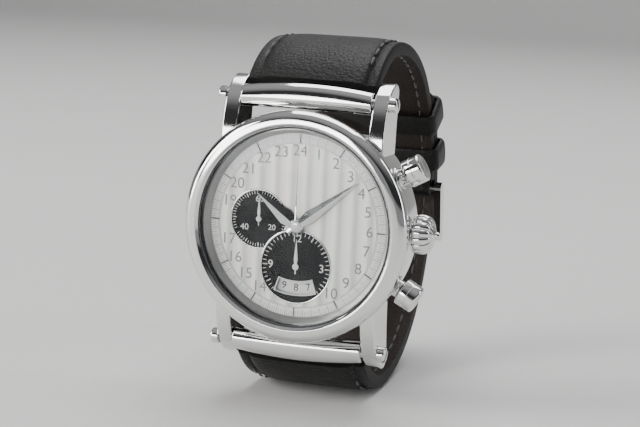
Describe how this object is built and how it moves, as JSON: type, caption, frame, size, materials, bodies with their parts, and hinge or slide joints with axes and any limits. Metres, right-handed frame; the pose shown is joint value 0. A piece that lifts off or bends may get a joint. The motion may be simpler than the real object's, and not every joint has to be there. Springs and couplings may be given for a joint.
{
  "type": "wristwatch",
  "caption": "Round steel chronograph wristwatch with two sub-dials, crown, pump pushers, straight lugs and a closed black leather strap with a pin buckle.",
  "frame": {"origin": "centre of the caseback's flat outer face", "axes": "+Z towards 12 o'clock, +X towards the crown at 3 o'clock, -Y out of the dial"},
  "size_m": [0.0455, 0.0634, 0.065],
  "materials": {
    "polished_steel": "mirror polished stainless steel",
    "brushed_steel": "fine brushed stainless steel",
    "sapphire": "clear sapphire",
    "gasket": "matte black seal",
    "dial_silver": "silvered, fine vertical stripes",
    "dial_black": "satin black with azure rings",
    "hand_silver": "polished steel hand",
    "hand_white": "white lacquer",
    "date_white": "matte white with numerals",
    "movement_plate": "rhodium plated, striped and grained",
    "brass_wheel": "gilt, circular grained",
    "steel_wheel": "snailed steel",
    "blue_steel": "heat-blued steel",
    "jewel": "synthetic ruby",
    "leather": "black grained calf leather"
  },
  "bodies": {
    "case": {"mid_case": "polished_steel", "bezel": "polished_steel", "caseback_screws": "polished_steel", "end_link_12": "polished_steel", "end_link_6": "polished_steel", "lug_screws": "polished_steel", "rehaut_ring": "brushed_steel", "caseback_ring": "brushed_steel", "movement_ring": "brushed_steel", "crown_tube": "brushed_steel", "pusher_tubes": "brushed_steel", "lug_bars": "brushed_steel", "buckle_bar": "brushed_steel", "pusher_springs": "brushed_steel", "crystal": "sapphire", "caseback_crystal": "sapphire", "crystal_gasket": "gasket", "dial_plate": "dial_silver", "subdial_seconds": "dial_black", "subdial_counter": "dial_black", "main_plate": "movement_plate", "barrel_bridge": "movement_plate", "train_bridge": "movement_plate", "balance_cock": "movement_plate", "automatic_bridge": "movement_plate", "hairspring": "blue_steel", "movement_screws": "blue_steel", "jewels": "jewel", "strap_upper": "leather", "strap_lower": "leather", "fixed_keeper": "leather"},
    "winding_clutch": {"winding_pinion": "steel_wheel"},
    "crown": {"crown": "polished_steel", "winding_stem": "brushed_steel"},
    "crown_wheel": {"crown_wheel": "steel_wheel"},
    "ratchet_wheel": {"ratchet_wheel": "steel_wheel"},
    "pusher_start": {"pusher_start": "polished_steel"},
    "pusher_reset": {"pusher_reset": "polished_steel"},
    "barrel": {"barrel_drum": "brass_wheel", "mainspring": "brushed_steel"},
    "centre_wheel": {"centre_wheel": "brass_wheel"},
    "third_wheel": {"third_wheel": "brass_wheel"},
    "fourth_wheel": {"fourth_wheel": "brass_wheel", "small_seconds_hand": "hand_white"},
    "escape_wheel": {"escape_wheel": "steel_wheel"},
    "pallet_fork": {"pallet_fork": "steel_wheel"},
    "balance": {"balance_wheel": "brass_wheel"},
    "minute_hand": {"minute_hand": "hand_silver", "cannon_pinion": "steel_wheel"},
    "minute_wheel": {"minute_wheel": "brass_wheel"},
    "hour_hand": {"hour_hand": "hand_silver", "hour_wheel": "brass_wheel"},
    "date_ring": {"date_ring": "date_white"},
    "chronograph": {"chrono_runner": "brass_wheel", "chrono_seconds_hand": "hand_silver"},
    "counter_hand": {"counter_hand": "hand_white"},
    "rotor": {"rotor": "movement_plate"},
    "buckle_frame": {"buckle_frame": "polished_steel"},
    "buckle_tongue": {"buckle_tongue": "polished_steel"},
    "floating_keeper": {"floating_keeper": "leather"}
  },
  "joints": [
    {"name": "crown_turn", "type": "hinge", "parent": "case", "child": "winding_clutch", "pos_m": [0.009, -0.0059, 0], "axis": [1, 0, 0], "continuous": true},
    {"name": "crown_pull", "type": "slide", "parent": "winding_clutch", "child": "crown", "axis": [1, 0, 0], "range_m": [0, 0.0009]},
    {"name": "crown_wheel_turn", "type": "hinge", "parent": "case", "child": "crown_wheel", "pos_m": [0.0072, -0.008, 0], "axis": [0, 1, 0], "continuous": true},
    {"name": "ratchet_turn", "type": "hinge", "parent": "case", "child": "ratchet_wheel", "pos_m": [0.00374, -0.008, 0.00446], "axis": [0, 1, 0], "continuous": true},
    {"name": "press_start", "type": "slide", "parent": "case", "child": "pusher_start", "axis": [-0.8746, 0, -0.4848], "range_m": [0, 0.0008], "stiffness_N_per_m": 3000, "deforming": ["pusher_springs"]},
    {"name": "press_reset", "type": "slide", "parent": "case", "child": "pusher_reset", "axis": [-0.8746, 0, 0.4848], "range_m": [0, 0.0008], "stiffness_N_per_m": 3000, "deforming": ["pusher_springs"]},
    {"name": "fourth_wheel_turn", "type": "hinge", "parent": "case", "child": "fourth_wheel", "pos_m": [-0.0072, -0.008, 0.0006], "axis": [0, 1, 0], "continuous": true},
    {"name": "third_wheel_turn", "type": "hinge", "parent": "case", "child": "third_wheel", "pos_m": [-0.00379, -0.008, 0.00148], "axis": [0, 1, 0], "continuous": true},
    {"name": "centre_wheel_turn", "type": "hinge", "parent": "case", "child": "centre_wheel", "pos_m": [0, -0.008, 0], "axis": [0, 1, 0], "continuous": true},
    {"name": "barrel_turn", "type": "hinge", "parent": "case", "child": "barrel", "pos_m": [0.00374, -0.008, 0.00446], "axis": [0, 1, 0], "continuous": true},
    {"name": "escape_wheel_turn", "type": "hinge", "parent": "case", "child": "escape_wheel", "pos_m": [-0.00784, -0.008, -0.00301], "axis": [0, 1, 0], "continuous": true},
    {"name": "pallet_rock", "type": "hinge", "parent": "case", "child": "pallet_fork", "pos_m": [-0.0061, -0.008, -0.00508], "axis": [0, 1, 0], "range_deg": [-5, 5]},
    {"name": "balance_swing", "type": "hinge", "parent": "case", "child": "balance", "pos_m": [-0.00424, -0.008, -0.0073], "axis": [0, 1, 0], "range_deg": [-300, 300], "stiffness_Nm_per_rad": 0.00000049},
    {"name": "minute_hand_turn", "type": "hinge", "parent": "case", "child": "minute_hand", "pos_m": [0, -0.008, 0], "axis": [0, 1, 0], "continuous": true},
    {"name": "minute_wheel_turn", "type": "hinge", "parent": "case", "child": "minute_wheel", "pos_m": [0.0026, -0.008, 0.00095], "axis": [0, 1, 0], "continuous": true},
    {"name": "hour_hand_turn", "type": "hinge", "parent": "case", "child": "hour_hand", "pos_m": [0, -0.008, 0], "axis": [0, 1, 0], "continuous": true},
    {"name": "date_ring_turn", "type": "hinge", "parent": "case", "child": "date_ring", "pos_m": [0, -0.008, 0], "axis": [0, 1, 0], "continuous": true},
    {"name": "chronograph_turn", "type": "hinge", "parent": "case", "child": "chronograph", "pos_m": [0, -0.008, 0], "axis": [0, 1, 0], "continuous": true},
    {"name": "counter_turn", "type": "hinge", "parent": "case", "child": "counter_hand", "pos_m": [0, -0.008, -0.0073], "axis": [0, 1, 0], "continuous": true},
    {"name": "rotor_swing", "type": "hinge", "parent": "case", "child": "rotor", "pos_m": [0, -0.002, 0], "axis": [0, 1, 0], "continuous": true},
    {"name": "buckle_frame_swing", "type": "hinge", "parent": "case", "child": "buckle_frame", "pos_m": [0, 0.046, 0.0007], "axis": [1, 0, 0], "range_deg": [0, 12]},
    {"name": "buckle_tongue_lift", "type": "hinge", "parent": "buckle_frame", "child": "buckle_tongue", "pos_m": [0, 0.046, 0.0007], "axis": [1, 0, 0], "range_deg": [0, 38]},
    {"name": "keeper_slide", "type": "slide", "parent": "case", "child": "floating_keeper", "axis": [0, -0.5381, 0.8429], "range_m": [-0.0015, 0.002]}
  ],
  "couplings": [
    {"joint": "crown_wheel_turn", "follows": "crown_turn", "ratio": -0.5},
    {"joint": "ratchet_turn", "follows": "crown_turn", "ratio": 0.35417},
    {"joint": "third_wheel_turn", "follows": "fourth_wheel_turn", "ratio": -0.125},
    {"joint": "centre_wheel_turn", "follows": "fourth_wheel_turn", "ratio": 0.016667},
    {"joint": "barrel_turn", "follows": "fourth_wheel_turn", "ratio": -0.002381},
    {"joint": "escape_wheel_turn", "follows": "fourth_wheel_turn", "ratio": -12},
    {"joint": "minute_wheel_turn", "follows": "minute_hand_turn", "ratio": -0.33333},
    {"joint": "hour_hand_turn", "follows": "minute_hand_turn", "ratio": 0.083333},
    {"joint": "date_ring_turn", "follows": "minute_hand_turn", "ratio": 0.0013441},
    {"joint": "counter_turn", "follows": "chronograph_turn", "ratio": 0.0013889}
  ]
}
